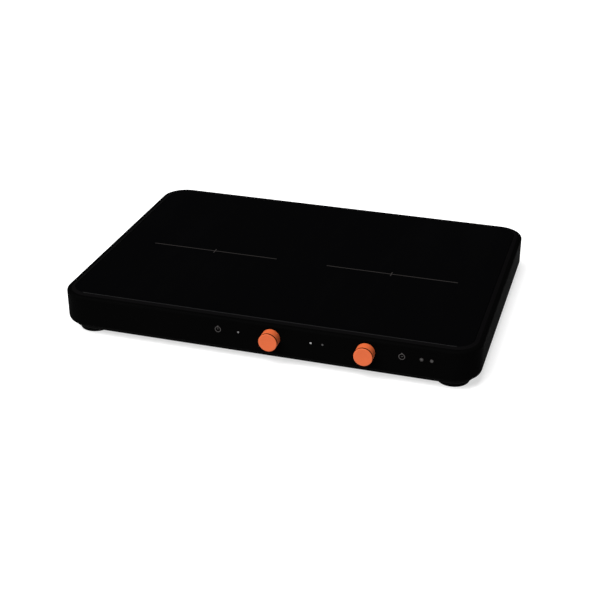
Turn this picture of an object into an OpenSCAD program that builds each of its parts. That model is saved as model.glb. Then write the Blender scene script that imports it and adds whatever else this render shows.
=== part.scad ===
// Portable induction cooktop with two zones and two turn-and-push knobs.
// Millimetres, +Z up, +X to the right, -Y towards the cook. The table is at z = 0.

/* [Casing] */
// Width of the casing
body_w = 600; // [500:10:720]
// Depth of the casing, from the front wall to the rear wall
body_d = 424; // [352:4:512]
// Height of the glass above the table
body_h = 64; // [62:1:80]
// Corner radius of the casing, seen from above
corner_r = 38; // [30:1:44]
// Thickness of the casing walls
wall = 3; // [2.5:0.1:3.6]
// Height of the casing's lower edge above the table
lip_z = 15; // [12.5:0.5:16]
// Rounding along the casing's lower edge
lip_r = 7; // [5:0.5:8]
// How far the casing's lower edge turns in under itself
lip_w = 12; // [11:0.5:13]

/* [Rim and glass] */
// Distance from the casing wall to the edge of the glass pocket
glass_inset = 12; // [11.5:0.5:13.5]
// Width of the band that slopes down from the glass
rim_band = 6; // [5:0.5:6.5]
// Angle of that band
rim_slope = 16; // [8:1:25]
// Rounding between the rim and the wall
rim_r = 3.5; // [3:0.5:5]
// Thickness of the glass
glass_t = 4; // [3:0.5:5]
// Gap between the glass and its pocket
glass_gap = 0.4; // [0.3:0.1:0.8]
// Bevel along the upper edge of the glass
glass_bevel = 0.6; // [0.3:0.1:1]
// Thickness of the silicone bed under the glass
bond_t = 0.8; // [0.5:0.1:1.5]
// Width of the ledge that carries the glass
ledge_w = 14; // [12:0.5:16]
// Thickness of that ledge
ledge_t = 3; // [2:0.5:4]

/* [Tray and feet] */
// Distance from the casing wall in to the side of the tray
tray_inset = 8; // [6:0.5:8.5]
// Thickness of the tray
tray_t = 2.5; // [2:0.25:3]
// Rounding along the tray's lower edge
tray_r = 5.5; // [3:0.5:5.5]
// Height of the feet under the tray
foot_h = 8; // [7:0.5:10]
// Radius of a foot
foot_r = 22.5; // [14:0.5:24]
// Distance from the casing walls to the middle of a foot
foot_in = 38; // [34:1:44]
// Radius of a foot's push-in stem
stem_r = 5; // [4:0.5:6]

/* [Tray screws] */
// Distance from the casing wall to a screw boss
boss_in = 19.5; // [19:0.5:21]
// Radius of a casing boss
boss_r = 4.5; // [3.5:0.5:4.5]
// Radius of a screw's thread
screw_r = 1.5; // [1.25:0.25:2]
// Radius of a screw's head
head_r = 3; // [2.5:0.25:3.5]
// Height of a screw's head
head_h = 2; // [1.5:0.25:2.5]
// Length of a tray screw under its head
tray_screw_l = 16; // [10:1:20]

/* [Controls on the front wall] */
// Depth of the row of controls below the glass
control_drop = 20; // [20:0.5:26]
// Right knob, measured in from the right-hand wall
knob_right_in = 150; // [145:0.5:156]
// Left knob, measured in from the right-hand wall
knob_left_in = 282; // [278:0.5:290]
// Right touch symbol, measured in from the right-hand wall
touch_right_in = 101.5; // [98:0.5:103]
// Left touch symbol, measured in from the right-hand wall
touch_left_in = 359; // [356:0.5:364]
// Pair of lights at the right, measured in from the right-hand wall
lights_right_in = [61.5, 75]; // [58:0.5:76]
// Pair of lights between the knobs, measured in from the right-hand wall
lights_middle_in = [210, 226.5]; // [208:0.5:231]
// Light at the left, measured in from the right-hand wall
light_left_in = 329.5; // [327:0.5:335]
// Radius of an indicator lens
lens_r = 1.4; // [1:0.1:2.4]
// Radius of a touch contact
contact_r = 5; // [4:0.5:6]

/* [Knobs] */
// Radius of a knob
knob_r = 13; // [11:0.5:16]
// Length of a knob
knob_l = 16; // [14:0.5:20]
// Gap between a knob and the wall
knob_gap = 1; // [0.8:0.1:2]
// Thickness of a knob's skin
knob_skin = 2; // [1.5:0.1:2.5]
// Rounding of a knob's edges
knob_edge = 0.8; // [0.3:0.1:1.2]
// Distance from a knob's face to its groove
groove_at = 0.9; // [0.8:0.1:2.5]
// Width of the groove
groove_w = 2.4; // [0.5:0.1:2.8]
// Depth of the groove
groove_d = 1.1; // [0.3:0.1:1.2]
// Radius of the hub inside a knob
hub_r = 5; // [4.5:0.25:6]
// Travel of a knob when it is pressed
push = 0.5; // [0.3:0.1:0.7]

/* [Encoders] */
// Radius of an encoder's shaft
shaft_r = 3; // [2.5:0.25:3.25]
// Running clearance of a shaft in its bushing and its hub
run_gap = 0.05; // [0.02:0.01:0.1]
// Radius of an encoder's threaded bushing
bushing_r = 4.25; // [4:0.25:4.75]
// Length of the bushing in front of the wall
bushing_out = 3.5; // [3:0.25:4]
// Width and height of an encoder's body
encoder_w = 13; // [12:0.5:15]
// Depth of an encoder's body
encoder_t = 7; // [6.5:0.5:9]

/* [Cooking zones] */
// Distance of each zone from the middle of the glass, sideways
zone_x = 137; // [130:1:145]
// Distance of both zones in front of the middle of the glass
zone_front = 14; // [0:1:20]
// Outer radius of a coil
coil_r = 84; // [70:1:85]
// Inner radius of a coil
coil_in_r = 24; // [20:1:30]
// Thickness of a coil
coil_t = 4; // [3:0.5:5]
// Thickness of the coil carrier
carrier_t = 3; // [2:0.5:3.5]
// Thickness of the ferrite bars
ferrite_t = 5; // [4:0.5:5]
// Thickness of the mica sheet between a coil and the glass
mica_t = 0.8; // [0.5:0.1:1.2]
// Offset of a coil's four posts from its middle, along X and along Y
post_off = 65; // [64:0.5:66]
// Radius of a post
post_r = 4.5; // [3.5:0.25:4.5]

/* [Power boards] */
// Width of a power board
board_w = 112; // [100:1:112]
// Length of a power board, front to rear
board_l = 160; // [150:1:165]
// Distance from the front wall to a power board
board_front = 130; // [126:1:135]
// Thickness of every circuit board
board_t = 1.6; // [1.2:0.2:2]
// Height of the standoffs under the boards
standoff_h = 5; // [4:0.5:6]
// Length of a heat sink
sink_l = 110; // [90:1:112]
// Width of a heat sink
sink_w = 45; // [36:1:46]
// Height of a heat sink
sink_h = 23; // [16:1:23]
// Number of fins on a heat sink
fin_count = 9; // [6:1:11]
// Thickness of a fin
fin_t = 1.6; // [1.2:0.1:2]

/* [Fans] */
// Width of a square fan frame
fan_w = 80; // [70:1:84]
// Height of a fan
fan_h = 15; // [14:1:20]
// Distance from the front wall to the middle of a fan
fan_front = 80; // [75:1:82]
// Number of fan blades
blade_count = 7; // [5:1:9]
// Pitch of a fan blade
blade_pitch = 38; // [30:1:50]
// Gap between the blade tips and the duct
tip_gap = 1.2; // [0.8:0.1:2]

/* [Mains inlet] */
// Sideways place of the cord gland
gland_x = 0; // [-20:1:20]
// Height of the cord gland
gland_z = 36; // [34:1:38]
// Radius of the cord bore in the gland
gland_bore_r = 4.1; // [3:0.1:5]
// Radius of the gland's thread
gland_r = 8; // [7:0.25:9]
// How far the gland stands out of the rear wall
gland_out = 17; // [14:0.5:20]

/* [Vents] */
// Width of an air slot
slot_w = 2.8; // [2:0.1:3.2]
// Distance from one air slot to the next
slot_pitch = 6; // [5.5:0.5:8]
// Height of the air slots in the rear wall
slot_h = 20; // [12:1:22]
// Number of air slots behind each zone
slot_count = 20; // [8:1:20]

/* [Hidden] */
$fn = 96;
left = -1;
right = 1;
// A cut runs this far past the face it opens
over = 1;
// Clearance of a piece in the hole that it passes through
fit_gap = 0.2;

// The knobs stand out in front and the gland behind, so the origin is midway
knob_reach = knob_gap + knob_l;
body_y = (knob_reach - gland_out) / 2;
front_y = body_y - body_d / 2;
rear_y = body_y + body_d / 2;

glass_z = body_h - glass_t;
ledge_z = glass_z - bond_t;
ledge_low = ledge_z - ledge_t;
pocket_x = corner_r - glass_inset;
ledge_x = pocket_x - ledge_w;
rim_low = body_h - rim_band * tan(rim_slope);

floor_z = foot_h + tray_t;
tray_x = corner_r - tray_inset;
rib_x = corner_r - lip_w - 2 * fit_gap;
rib_t = 2;
boss_low = floor_z + tray_t;
pilot_r = screw_r + run_gap;
hole_r = screw_r + 2 * fit_gap;
boss_far = corner_r + 20;

control_z = body_h - control_drop;
control_board_y = front_y + wall + encoder_t;
control_board_h = 22;
control_end = 14;
light_in = concat(lights_right_in, lights_middle_in, [light_left_in]);
control_boss_in = [46, 125, 250, 346];
encoder_nut_r = 6.4;
nut_t = 2;
washer_t = 0.5;
washer_r = 6.8;
knob_hollow = knob_l - knob_skin - 1;
hub_end = bushing_out + push + 0.5;
shaft_tip = knob_reach - knob_skin - 1.5;
flange_r = shaft_r + 1;
cavity_r = 4.75;
cavity_end = encoder_t - 1;
plunger_r = 3.5;
plunger_t = 1.5;
flange_at = 1.1;
flange_t = 1.2;
shaft_back = 3;
plunger_at = wall + shaft_back + run_gap;
flat_depth = 1.4;

zone_y = body_y - zone_front;
mica_z = glass_z - mica_t;
coil_z = mica_z - coil_t;
carrier_z = coil_z - carrier_t;
ferrite_z = carrier_z - ferrite_t;
carrier_r = post_off * sqrt(2) + post_r;
ferrite_count = 8;
ferrite_w = 14;
ferrite_start = 30;
ferrite_end = coil_r + 2;
spoke_w = 18;
sensor_r = 8;

board_z = floor_z + standoff_h;
board_top = board_z + board_t;
board_y = front_y + board_front + board_l / 2;
standoff_r = 3;
board_screw_in = 5;
board_screw_l = 5;
chip_t = 5;
sink_z = board_top + chip_t;
sink_base = 4;
sink_x = -board_w / 2 + sink_w / 2 + 4;
sink_y = 5;
foot_block = 5;

fan_y = front_y + fan_front;
fan_lift = 4;
fan_z = floor_z + fan_lift;
fan_hole_in = 4.25;
duct_r = fan_w / 2 - 2;
fan_hub_r = 16;
fan_hub_t = 1.4;
fan_plate_t = 1.5;
fan_tube_r = 4;
fan_shaft_r = 1.5;
fan_screw_l = fan_h + 3;

filter_w = 84;
filter_l = 76;
filter_y = rear_y - 58 - filter_l / 2;
terminal_y = rear_y - 36;

// ---------------------------------------------------------------- helpers

// Sweeps a profile round a rounded rectangle. In the profile, x is measured
// outwards from the middle of a corner's arc and y is the height.
module around(w, d, r) {
    for (i = [0:3]) {
        across = i % 2 == 0 ? w : d;
        along = i % 2 == 0 ? d : w;
        rotate([0, 0, 90 * i])
            translate([across / 2 - r, along / 2 - r, 0]) {
                rotate_extrude(angle = 90) children();
                rotate([90, 0, 0]) linear_extrude(along - 2 * r) children();
            }
    }
}

// Sweep round the casing, placed where the casing stands
module around_casing() {
    translate([0, body_y, 0]) around(body_w, body_d, corner_r) children();
}

// Level sheet that closes the middle of a sweep round the casing
module middle_sheet(z, t) {
    w = body_w - 2 * corner_r;
    d = body_d - 2 * corner_r;
    translate([-w / 2, body_y - d / 2, z]) cube([w, d, t]);
}

// Box with its middle at x, y and its underside at z
module block(x, y, z, size) {
    translate([x - size[0] / 2, y - size[1] / 2, z]) cube(size);
}

// Ring with a bore
module ring(z, t, outer, inner) {
    difference() {
        translate([0, 0, z]) cylinder(r = outer, h = t);
        translate([0, 0, z - over]) cylinder(r = inner, h = t + 2 * over);
    }
}

// Places something on the front wall, with z running into the casing
module on_front(from_right) {
    translate([body_w / 2 - from_right, front_y, control_z]) rotate([-90, 0, 0]) children();
}

// Places something on the rear wall, with z running out of the casing
module on_rear(x, z) {
    translate([x, rear_y, z]) rotate([-90, 0, 0]) children();
}

module at_zone(side) {
    translate([side * zone_x, zone_y, 0]) children();
}

module at_board(side) {
    translate([side * zone_x, board_y, 0]) children();
}

module at_fan(side) {
    translate([side * zone_x, fan_y, fan_z]) children();
}

// Puts a copy at each corner of a rectangle
module at_corners(x, y) {
    for (sx = [-1, 1], sy = [-1, 1]) translate([sx * x, sy * y, 0]) children();
}

// Places of the tray screws: four along the front, four along the rear, two on each side
module at_tray_screws() {
    far = body_w / 2 - boss_far;
    for (sy = [-1, 1], x = [-far, -far / 3, far / 3, far])
        translate([x, body_y + sy * (body_d / 2 - boss_in), 0]) children();
    for (sx = [-1, 1], sy = [-1, 1])
        translate([sx * (body_w / 2 - boss_in), body_y + sy * body_d / 4, 0]) children();
}

module at_feet() {
    translate([0, body_y, 0]) at_corners(body_w / 2 - foot_in, body_d / 2 - foot_in) children();
}

module at_filter_corners() {
    translate([0, filter_y, 0])
        at_corners(filter_w / 2 - board_screw_in, filter_l / 2 - board_screw_in) children();
}

module at_power_corners(side) {
    at_board(side) at_corners(board_w / 2 - board_screw_in, board_l / 2 - board_screw_in) children();
}

// Pan-head screw with its head above z = 0 and its thread below
module screw(length) {
    difference() {
        union() {
            cylinder(r = head_r, h = head_h);
            translate([0, 0, -length]) cylinder(r = screw_r, h = length);
        }
        for (turn = [0, 90])
            rotate([0, 0, turn]) block(0, 0, head_h / 2, [head_r, head_h / 3, head_h]);
    }
}

// ---------------------------------------------------------------- casing

module casing_2d() {
    union() {
        polygon([
            [0, lip_z],
            [corner_r - lip_r, lip_z],
            [corner_r, lip_z + lip_r],
            [corner_r, rim_low - rim_r],
            [corner_r - rim_r, rim_low],
            [pocket_x + rim_band, rim_low],
            [pocket_x, body_h],
            [0, body_h]
        ]);
        translate([corner_r - lip_r, lip_z + lip_r]) circle(r = lip_r);
        translate([corner_r - rim_r, rim_low - rim_r]) circle(r = rim_r);
    }
}

// Section of the casing: sloping band, border, glass ledge, wall and turned-in lower edge
module frame_2d() {
    inner_r = lip_r - wall;
    difference() {
        casing_2d();
        translate([-over, ledge_z]) square([pocket_x + over, body_h]);
        translate([-over, lip_z - over]) square([ledge_x + over, body_h]);
        translate([-over, lip_z - over]) square([corner_r - lip_w + over, 2 * wall]);
        translate([-over, lip_z + wall]) square([corner_r - lip_r + over, ledge_low - lip_z - wall]);
        translate([-over, lip_z + lip_r]) square([corner_r - wall + over, ledge_low - lip_z - lip_r]);
        translate([corner_r - lip_r, lip_z + lip_r]) circle(r = inner_r);
    }
}

module rear_slots() {
    reach = (slot_count - 1) / 2;
    for (side = [left, right], i = [-reach:reach])
        block(side * zone_x + i * slot_pitch, rear_y - wall / 2, control_z - slot_h / 2,
              [slot_w, wall + 2 * over, slot_h]);
}

module housing() {
    color("#141415") difference() {
        union() {
            around_casing() frame_2d();
            at_tray_screws() translate([0, 0, boss_low]) cylinder(r = boss_r, h = ledge_z - bond_t - boss_low);
            for (x = control_boss_in)
                on_front(x) translate([0, 0, wall / 2]) cylinder(r = standoff_r, h = encoder_t + wall / 2);
        }
        at_tray_screws()
            translate([0, 0, boss_low - over]) cylinder(r = pilot_r, h = tray_screw_l + over);
        for (x = control_boss_in)
            on_front(x) translate([0, 0, wall]) cylinder(r = pilot_r, h = encoder_t + over);
        for (x = [knob_left_in, knob_right_in])
            on_front(x) translate([0, 0, -over]) cylinder(r = bushing_r + fit_gap, h = wall + 2 * over);
        for (x = light_in)
            on_front(x) translate([0, 0, -over]) cylinder(r = lens_r, h = wall + 2 * over);
        on_rear(gland_x, gland_z)
            translate([0, 0, -wall - over]) cylinder(r = gland_r + fit_gap, h = wall + 2 * over);
        rear_slots();
    }
}

// Section of a flat sheet that fits the glass pocket
module glass_2d() {
    edge = pocket_x - glass_gap;
    polygon([
        [0, glass_z],
        [edge, glass_z],
        [edge, body_h - glass_bevel],
        [edge - glass_bevel, body_h],
        [0, body_h]
    ]);
}

module glass_top() {
    color("#0a0a0b") {
        around_casing() glass_2d();
        middle_sheet(glass_z, glass_t);
    }
}

// Silicone bed under the glass, with a bead that fills the gap round it
module glass_bond() {
    bead_top = body_h - 2 * glass_bevel;
    color("#1c1c1c") around_casing() union() {
        translate([ledge_x + over, ledge_z]) square([ledge_w - over, bond_t]);
        translate([pocket_x - glass_gap, ledge_z]) square([glass_gap, bead_top - ledge_z]);
    }
}

// ---------------------------------------------------------------- tray and feet

module tray_2d() {
    inner_r = tray_r - tray_t;
    difference() {
        union() {
            translate([0, foot_h]) square([tray_x - tray_r, lip_z - foot_h]);
            translate([0, foot_h + tray_r]) square([tray_x, lip_z - foot_h - tray_r]);
            translate([tray_x - tray_r, foot_h + tray_r]) circle(r = tray_r);
        }
        translate([-over, floor_z]) square([tray_x - tray_r + over, body_h]);
        translate([-over, foot_h + tray_r]) square([tray_x - tray_t + over, body_h]);
        translate([tray_x - tray_r, foot_h + tray_r]) circle(r = inner_r);
        translate([0, lip_z]) square([corner_r, body_h]);
    }
    translate([rib_x - rib_t, floor_z - tray_t / 2]) square([rib_t, lip_z + wall - floor_z + tray_t / 2]);
}

// Air inlet below a fan: rings of slots with spokes between them
module inlet_grille() {
    ring_step = 2 * slot_w;
    difference() {
        for (r = [fan_hub_r:ring_step:duct_r - ring_step])
            ring(foot_h - over, tray_t + 2 * over, r + slot_w, r);
        for (a = [0:45:135])
            rotate([0, 0, a]) block(0, 0, foot_h - 2 * over, [2 * duct_r, ring_step, tray_t + 4 * over]);
    }
}

module base_tray() {
    color("#1b1b1c") difference() {
        union() {
            around_casing() tray_2d();
            middle_sheet(foot_h, tray_t);
            at_tray_screws() translate([0, 0, foot_h]) cylinder(r = boss_r + 1.5, h = boss_low - foot_h);
            for (side = [left, right]) {
                at_zone(side) at_corners(post_off, post_off)
                    translate([0, 0, foot_h]) cylinder(r = post_r, h = carrier_z - foot_h);
                at_power_corners(side)
                    translate([0, 0, foot_h]) cylinder(r = standoff_r, h = board_z - foot_h);
                translate([side * zone_x, fan_y, 0]) {
                    ring(foot_h, fan_z - foot_h, duct_r + tray_t, duct_r);
                    at_corners(fan_w / 2 - fan_hole_in, fan_w / 2 - fan_hole_in)
                        translate([0, 0, foot_h]) cylinder(r = fan_hole_in, h = fan_z - foot_h);
                }
            }
            at_filter_corners() translate([0, 0, foot_h]) cylinder(r = standoff_r, h = board_z - foot_h);
        }
        at_tray_screws() {
            translate([0, 0, foot_h - over]) cylinder(r = head_r + 2 * fit_gap, h = tray_t + over);
            cylinder(r = hole_r, h = body_h);
        }
        at_feet() cylinder(r = stem_r + fit_gap, h = body_h);
        for (side = [left, right]) {
            at_zone(side) at_corners(post_off, post_off)
                translate([0, 0, floor_z]) cylinder(r = pilot_r, h = body_h);
            at_power_corners(side) translate([0, 0, foot_h + 1]) cylinder(r = pilot_r, h = body_h);
            translate([side * zone_x, fan_y, 0]) {
                inlet_grille();
                at_corners(fan_w / 2 - fan_hole_in, fan_w / 2 - fan_hole_in)
                    translate([0, 0, foot_h + 1]) cylinder(r = pilot_r, h = body_h);
            }
        }
        at_filter_corners() translate([0, 0, foot_h + 1]) cylinder(r = pilot_r, h = body_h);
    }
}

// Rubber foot with a stem that snaps through the tray
module foot(sx, sy) {
    edge = 2;
    barb = 1.2;
    color("#222222")
        translate([sx * (body_w / 2 - foot_in), body_y + sy * (body_d / 2 - foot_in), 0])
        rotate_extrude() union() {
            square([foot_r - edge, foot_h]);
            translate([0, edge]) square([foot_r, foot_h - edge]);
            translate([foot_r - edge, edge]) circle(r = edge);
            translate([0, foot_h - over]) square([stem_r, tray_t + fit_gap + over]);
            translate([0, floor_z + fit_gap])
                polygon([[0, 0], [stem_r + barb, 0], [stem_r - barb, 2 * barb], [0, 2 * barb]]);
        }
}

// ---------------------------------------------------------------- fasteners

module tray_screws() {
    color("#8c8f94") at_tray_screws()
        translate([0, 0, floor_z]) rotate([180, 0, 0]) screw(tray_screw_l);
}

module board_screws() {
    color("#8c8f94") {
        for (side = [left, right])
            at_power_corners(side) translate([0, 0, board_top]) screw(board_screw_l);
        at_filter_corners() translate([0, 0, board_top]) screw(board_screw_l);
        for (x = control_boss_in)
            on_front(x) translate([0, 0, wall + encoder_t + board_t]) screw(board_screw_l);
    }
}

module coil_screws() {
    color("#b9975b") for (side = [left, right])
        at_zone(side) at_corners(post_off, post_off)
            translate([0, 0, coil_z]) screw(2 * board_screw_l);
}

module fan_screws() {
    color("#8c8f94") for (side = [left, right])
        at_fan(side) at_corners(fan_w / 2 - fan_hole_in, fan_w / 2 - fan_hole_in)
            translate([0, 0, fan_h]) screw(fan_screw_l);
}

// ---------------------------------------------------------------- controls

// Upright circuit board behind the front wall, with its chips on the rear face
module control_board() {
    low_in = light_in[0] - control_end;
    board_long = touch_left_in + control_end - low_in;
    chip_in = [95, 175, 305];
    chip = [12, 9, board_t];
    color("#1d5a38") difference() {
        union() {
            translate([body_w / 2 - low_in - board_long, control_board_y, control_z - control_board_h / 2])
                cube([board_long, board_t, control_board_h]);
            for (x = chip_in)
                on_front(x) block(0, 0, wall + encoder_t + board_t / 2, chip);
        }
        for (x = control_boss_in) on_front(x) cylinder(r = hole_r, h = 2 * (wall + encoder_t));
    }
}

module indicator_lenses() {
    flange = 1;
    color("#d9d9d2") for (x = light_in) on_front(x) {
        cylinder(r = lens_r - run_gap, h = wall);
        translate([0, 0, wall]) cylinder(r = lens_r + flange, h = flange);
    }
}

module indicator_leds() {
    led = [3.2, 1.6, 1.2];
    color("#f2e6c0") for (x = light_in) on_front(x) block(0, 0, wall + encoder_t - led[2], led);
}

// Conductive pads that carry each touch symbol's field to the board
module touch_contacts() {
    color("#3a3a3e") for (x = [touch_left_in, touch_right_in])
        on_front(x) ring(wall, encoder_t, contact_r, contact_r / 2);
}

module encoder_nuts() {
    color("#c2c4c8") for (x = [knob_left_in, knob_right_in]) on_front(x) {
        ring(-washer_t, washer_t, washer_r, bushing_r + run_gap);
        difference() {
            translate([0, 0, -washer_t - run_gap - nut_t])
                cylinder(r = encoder_nut_r, h = nut_t, $fn = 6);
            translate([0, 0, -washer_t - nut_t - over])
                cylinder(r = bushing_r + run_gap, h = nut_t + 2 * over);
        }
    }
}

// Body with its threaded bushing. The shaft runs in the bushing's bore
module encoder_body(from_right) {
    color("#b5b8bc") on_front(from_right) difference() {
        union() {
            block(0, 0, wall, [encoder_w, encoder_w, encoder_t]);
            translate([0, 0, -bushing_out]) cylinder(r = bushing_r, h = bushing_out + wall + over);
        }
        translate([0, 0, -bushing_out - over])
            cylinder(r = shaft_r + run_gap, h = bushing_out + wall + 2 * over);
        translate([0, 0, wall + 1]) cylinder(r = cavity_r, h = cavity_end - 1);
    }
}

// Flat that keeps the knob from slipping on its shaft
module shaft_flat(gap) {
    block(0, shaft_r - flat_depth + gap + shaft_r, -shaft_tip - over,
          [4 * shaft_r, 2 * shaft_r, shaft_tip - hub_end + over]);
}

module encoder_shaft(from_right) {
    color("#d4d6da") on_front(from_right) {
        difference() {
            translate([0, 0, -shaft_tip]) cylinder(r = shaft_r, h = shaft_tip + wall + shaft_back);
            shaft_flat(0);
        }
        translate([0, 0, wall + flange_at]) cylinder(r = flange_r, h = flange_t);
    }
}

module encoder_plunger(from_right) {
    color("#e8e4da") on_front(from_right)
        translate([0, 0, plunger_at]) cylinder(r = plunger_r, h = plunger_t);
}

module knob_2d() {
    back = -knob_gap;
    face = -knob_reach;
    groove = face + groove_at;
    difference() {
        polygon([
            [0, face],
            [knob_r - knob_edge, face],
            [knob_r, face + knob_edge],
            [knob_r, back - knob_edge],
            [knob_r - knob_edge, back],
            [0, back]
        ]);
        translate([knob_r - groove_d, groove]) square([knob_r, groove_w]);
        translate([hub_r, back - knob_hollow]) square([knob_r - knob_skin - hub_r, knob_hollow + over]);
        translate([-over, -hub_end]) square([hub_r + 2 * over, hub_end + over]);
    }
}

module knob(from_right) {
    bore_r = shaft_r + run_gap;
    color("#e1622f") on_front(from_right) difference() {
        rotate_extrude() knob_2d();
        difference() {
            translate([0, 0, -shaft_tip - run_gap]) cylinder(r = bore_r, h = shaft_tip + over);
            shaft_flat(run_gap);
        }
    }
}

// Spring sleeve that grips the knob's hub
module knob_clip(from_right) {
    sleeve_t = 0.6;
    sleeve_l = 6;
    slit = 2;
    color("#9aa0a6") on_front(from_right) difference() {
        ring(-hub_end - 1 - sleeve_l, sleeve_l, hub_r + sleeve_t, hub_r);
        block(0, -hub_r, -knob_reach, [slit, hub_r, knob_reach]);
    }
}

// ---------------------------------------------------------------- zones

module coil_winding(side) {
    turns = 12;
    pitch = (coil_r - coil_in_r) / turns;
    groove = 0.5;
    color("#b5672e") at_zone(side) rotate_extrude() difference() {
        translate([coil_in_r, coil_z]) square([coil_r - coil_in_r, coil_t]);
        for (i = [1:turns - 1])
            translate([coil_in_r + i * pitch - groove / 2, mica_z - groove]) square([groove, 2 * groove]);
    }
}

// Round frame that the coil lies on: two rings joined by spokes
module coil_carrier(side) {
    hub = coil_in_r + 2;
    color("#d8d2c0") at_zone(side) difference() {
        union() {
            ring(carrier_z, carrier_t, carrier_r, coil_r - 6);
            ring(carrier_z, carrier_t, hub, sensor_r + 1);
            for (a = [0:ferrite_count - 1])
                rotate([0, 0, 360 / ferrite_count * a]) translate([hub - over, -spoke_w / 2, carrier_z])
                    cube([carrier_r - hub - 5, spoke_w, carrier_t]);
        }
        at_corners(post_off, post_off) cylinder(r = hole_r, h = body_h);
    }
}

module coil_ferrites(side) {
    color("#2b2c30") at_zone(side) for (a = [0:ferrite_count - 1])
        rotate([0, 0, 360 / ferrite_count * a]) translate([ferrite_start, -ferrite_w / 2, ferrite_z])
            cube([ferrite_end - ferrite_start, ferrite_w, ferrite_t]);
}

module coil_mica(side) {
    color("#c9c2ab") at_zone(side) ring(mica_z, mica_t, coil_r + 2, sensor_r + fit_gap);
}

// Temperature sensor in a sleeve that presses it to the glass
module coil_sensor(side) {
    flange = 2;
    color("#e9e9e4") at_zone(side) {
        translate([0, 0, carrier_z]) cylinder(r = sensor_r, h = glass_z - carrier_z);
        translate([0, 0, carrier_z - flange]) cylinder(r = coil_in_r - flange, h = flange);
    }
}

// Two insulated leads from the coil's edge down to the power board
module coil_leads(side) {
    lead_r = 1.8;
    lead_x = [44, 52];
    clear = 4;
    landing = 12;
    low = board_top + 3 * lead_r;
    beside_coil = sqrt(pow(coil_r + lead_r, 2) - pow(lead_x[1], 2)) + clear;
    beside_bar = (ferrite_end + ferrite_w / 2) * cos(360 / ferrite_count) + lead_r + 1;
    edge_y = zone_y - max(beside_coil, beside_bar);
    back = max(board_y - board_l / 2, edge_y) + landing;
    color("#b23a2c") for (x = lead_x) translate([side * zone_x + x, 0, 0]) {
        translate([0, edge_y, low]) cylinder(r = lead_r, h = coil_z - clear - low);
        translate([0, edge_y, low]) sphere(r = lead_r);
        translate([0, back, low]) rotate([90, 0, 0]) cylinder(r = lead_r, h = back - edge_y);
    }
}

// ---------------------------------------------------------------- power electronics

module power_board(side) {
    color("#23603c") difference() {
        at_board(side) block(0, 0, board_z, [board_w, board_l, board_t]);
        at_power_corners(side) cylinder(r = hole_r, h = body_h);
    }
}

module heat_sink(side) {
    gap = (sink_w - fin_t) / (fin_count - 1);
    color("#a9adb2") at_board(side) translate([sink_x, sink_y, 0]) {
        block(0, 0, sink_z, [sink_w, sink_l, sink_base]);
        for (i = [0:fin_count - 1])
            translate([-sink_w / 2 + i * gap, -sink_l / 2, sink_z]) cube([fin_t, sink_l, sink_h]);
        at_corners((sink_w - foot_block) / 2, (sink_l - foot_block) / 2)
            block(0, 0, board_top, [foot_block, foot_block, chip_t + 1]);
    }
}

// Two power transistors and the rectifier, clamped under the heat sink
module transistors(side) {
    step = 30;
    color("#202124") at_board(side) translate([sink_x, sink_y, 0])
        for (i = [-1:1]) block(0, i * step, board_top, [16, 20, chip_t]);
}

module capacitors(side) {
    can_r = 8;
    film = [30, 13, 22];
    film_y = [10, 28];
    can_y = 54;
    x = board_w / 4;
    color("#d6c23c") at_board(side) {
        for (y = film_y) block(x, y, board_top, film);
        translate([x, can_y, board_top]) cylinder(r = can_r, h = film[2]);
    }
}

// Toroidal choke lying on the board
module choke(side) {
    core_y = -28;
    core_r = 16;
    eye_r = 7;
    core_h = 13;
    color("#9c6b30") at_board(side)
        translate([board_w / 4, core_y, board_top]) ring(0, core_h, core_r, eye_r);
}

// ---------------------------------------------------------------- fans

module fan_frame(side) {
    tube_top = fan_h - fan_hub_t - 2;
    arm_w = 4;
    color("#1a1a1c") at_fan(side) {
        difference() {
            block(0, 0, 0, [fan_w, fan_w, fan_h]);
            translate([0, 0, -over]) cylinder(r = duct_r, h = fan_h + 2 * over);
            at_corners(fan_w / 2 - fan_hole_in, fan_w / 2 - fan_hole_in)
                translate([0, 0, -over]) cylinder(r = hole_r, h = fan_h + 2 * over);
        }
        difference() {
            union() {
                for (a = [45, 135]) rotate([0, 0, a]) block(0, 0, 0, [2 * duct_r + 2, arm_w, fan_plate_t]);
                cylinder(r = fan_hub_r, h = fan_plate_t);
                cylinder(r = fan_tube_r, h = tube_top);
            }
            translate([0, 0, -over]) cylinder(r = fan_shaft_r + run_gap, h = fan_h);
        }
    }
}

// Coil pack that drives the rotor from inside its hub
module fan_stator(side) {
    height = fan_h - fan_hub_t - 6;
    outer = fan_hub_r - fan_hub_t - 1.2;
    color("#a05a2c") at_fan(side) ring(fan_plate_t, height, outer, fan_tube_r);
}

module fan_rotor(side) {
    low = fan_plate_t + 1;
    top = fan_h - 1;
    blade_t = 1.4;
    tip_r = duct_r - tip_gap;
    color("#2a2a2d") at_fan(side) {
        difference() {
            translate([0, 0, low]) cylinder(r = fan_hub_r, h = top - low);
            translate([0, 0, low - over]) cylinder(r = fan_hub_r - fan_hub_t, h = top - fan_hub_t - low + over);
        }
        translate([0, 0, low]) cylinder(r = fan_shaft_r, h = top - low);
        intersection() {
            for (i = [0:blade_count - 1])
                rotate([0, 0, 360 / blade_count * i])
                    translate([duct_r / 2 + fan_hub_r / 2, 0, (low + top) / 2])
                    rotate([blade_pitch, 0, 0]) cube([duct_r, blade_t, 2 * fan_h], center = true);
            ring(low + 0.5, top - low - 1, tip_r, fan_hub_r - fan_hub_t / 2);
        }
    }
}

// ---------------------------------------------------------------- mains inlet

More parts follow.
